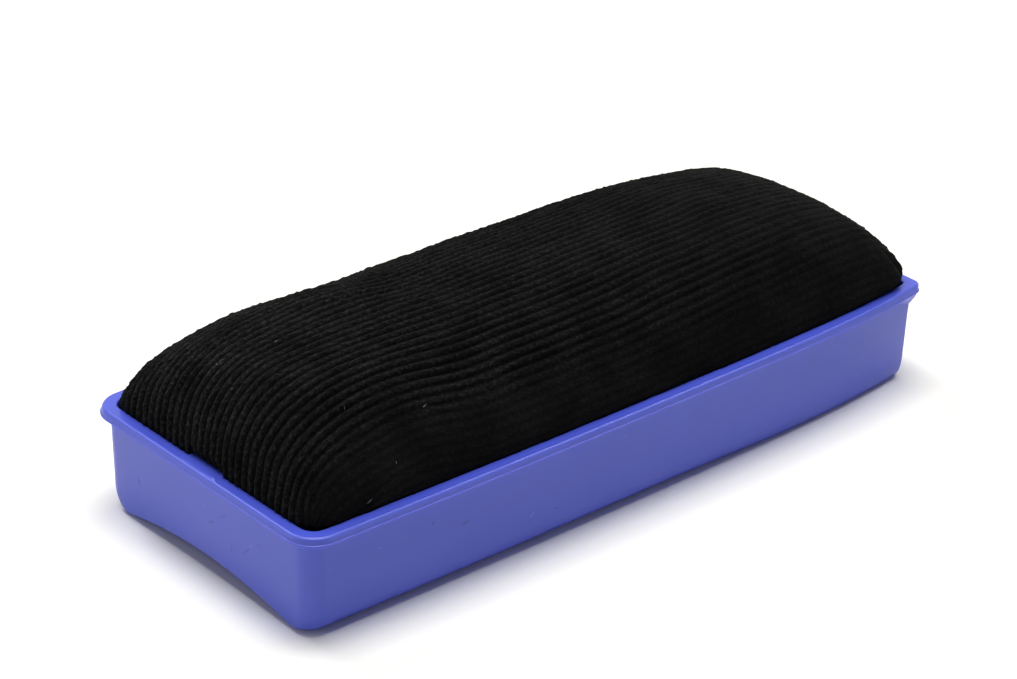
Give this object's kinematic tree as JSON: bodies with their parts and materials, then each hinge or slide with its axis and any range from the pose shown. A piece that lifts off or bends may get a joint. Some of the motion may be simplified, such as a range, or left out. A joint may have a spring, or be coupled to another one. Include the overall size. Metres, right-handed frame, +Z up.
{
  "type": "whiteboard eraser",
  "caption": "Whiteboard eraser: a domed corduroy pad over foam, pressed into a moulded plastic tray that is the handle.",
  "frame": {"origin": "under the middle of the eraser, on the surface that its back rests on", "axes": "+X along the length, +Y across the width, +Z up through the pad, away from the handle's back"},
  "size_m": [0.15, 0.064, 0.0391],
  "materials": {
    "case_plastic": "satin, injection moulded",
    "fibreboard": "pressed board, uncoated",
    "foam": "open-cell sponge",
    "corduroy": "cut-pile cord, matt"
  },
  "bodies": {
    "root": {"case": "case_plastic", "backing_board": "fibreboard", "foam_core": "foam", "cloth_cover": "corduroy"}
  },
  "joints": []
}
